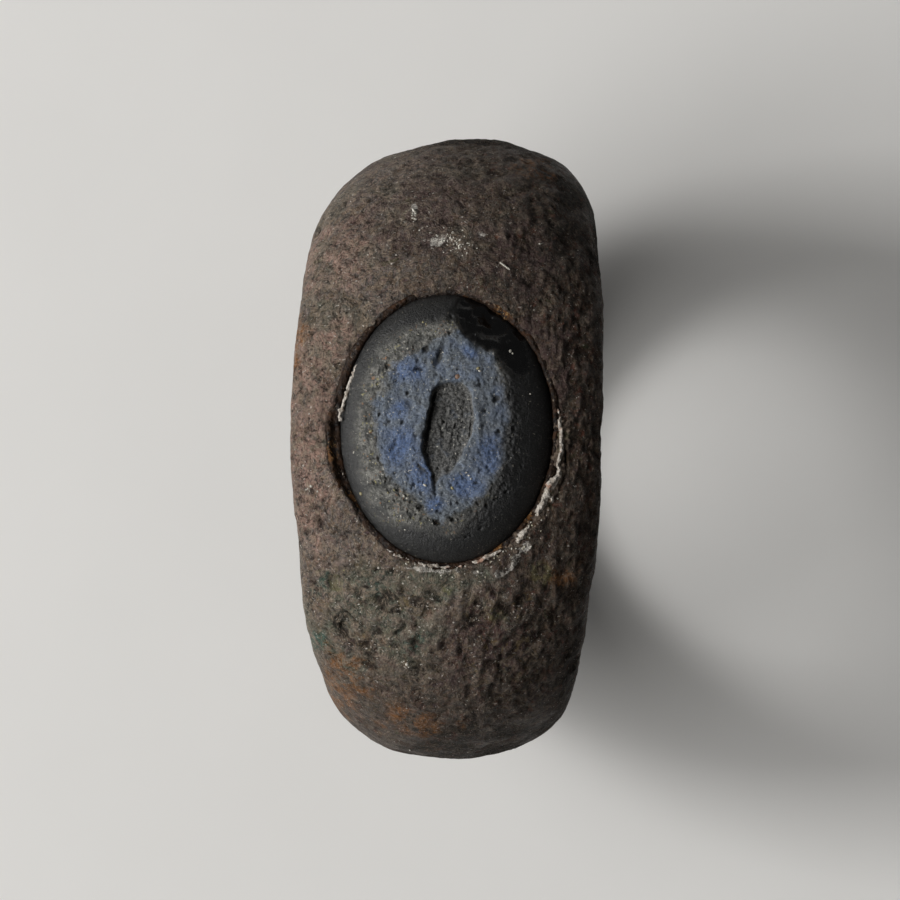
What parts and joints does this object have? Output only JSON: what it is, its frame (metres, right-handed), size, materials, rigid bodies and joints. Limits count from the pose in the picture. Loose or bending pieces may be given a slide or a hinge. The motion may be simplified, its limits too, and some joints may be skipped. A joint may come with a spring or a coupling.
{
  "type": "finger ring with an engraved gem",
  "caption": "Heavy iron finger ring, broad at the bezel and narrow at the back, with an oval layered-glass gem set in dark resin and engraved with a small worn standing figure.",
  "frame": {"origin": "centre of the finger hole", "axes": "+X along the finger, +Y along the gem's long axis towards the figure's head, +Z out of the bezel, square to the gem's face"},
  "size_m": [0.0128, 0.026, 0.0233],
  "materials": {
    "corroded_iron": "corroded and pitted, matt with worn satin patches, dark purplish brown",
    "setting_resin": "old dark amber resin, satin",
    "lime_packing": "crumbly pale crust, matt",
    "black_glass": "black glass with a worn satin bevel and a glossy chip",
    "blue_glass": "pale blue opaque glass layer, worn and pitted"
  },
  "bodies": {
    "root": {"hoop": "corroded_iron", "resin_bed": "setting_resin", "pale_packing": "lime_packing", "gem_body": "black_glass", "gem_face": "blue_glass"}
  },
  "joints": []
}
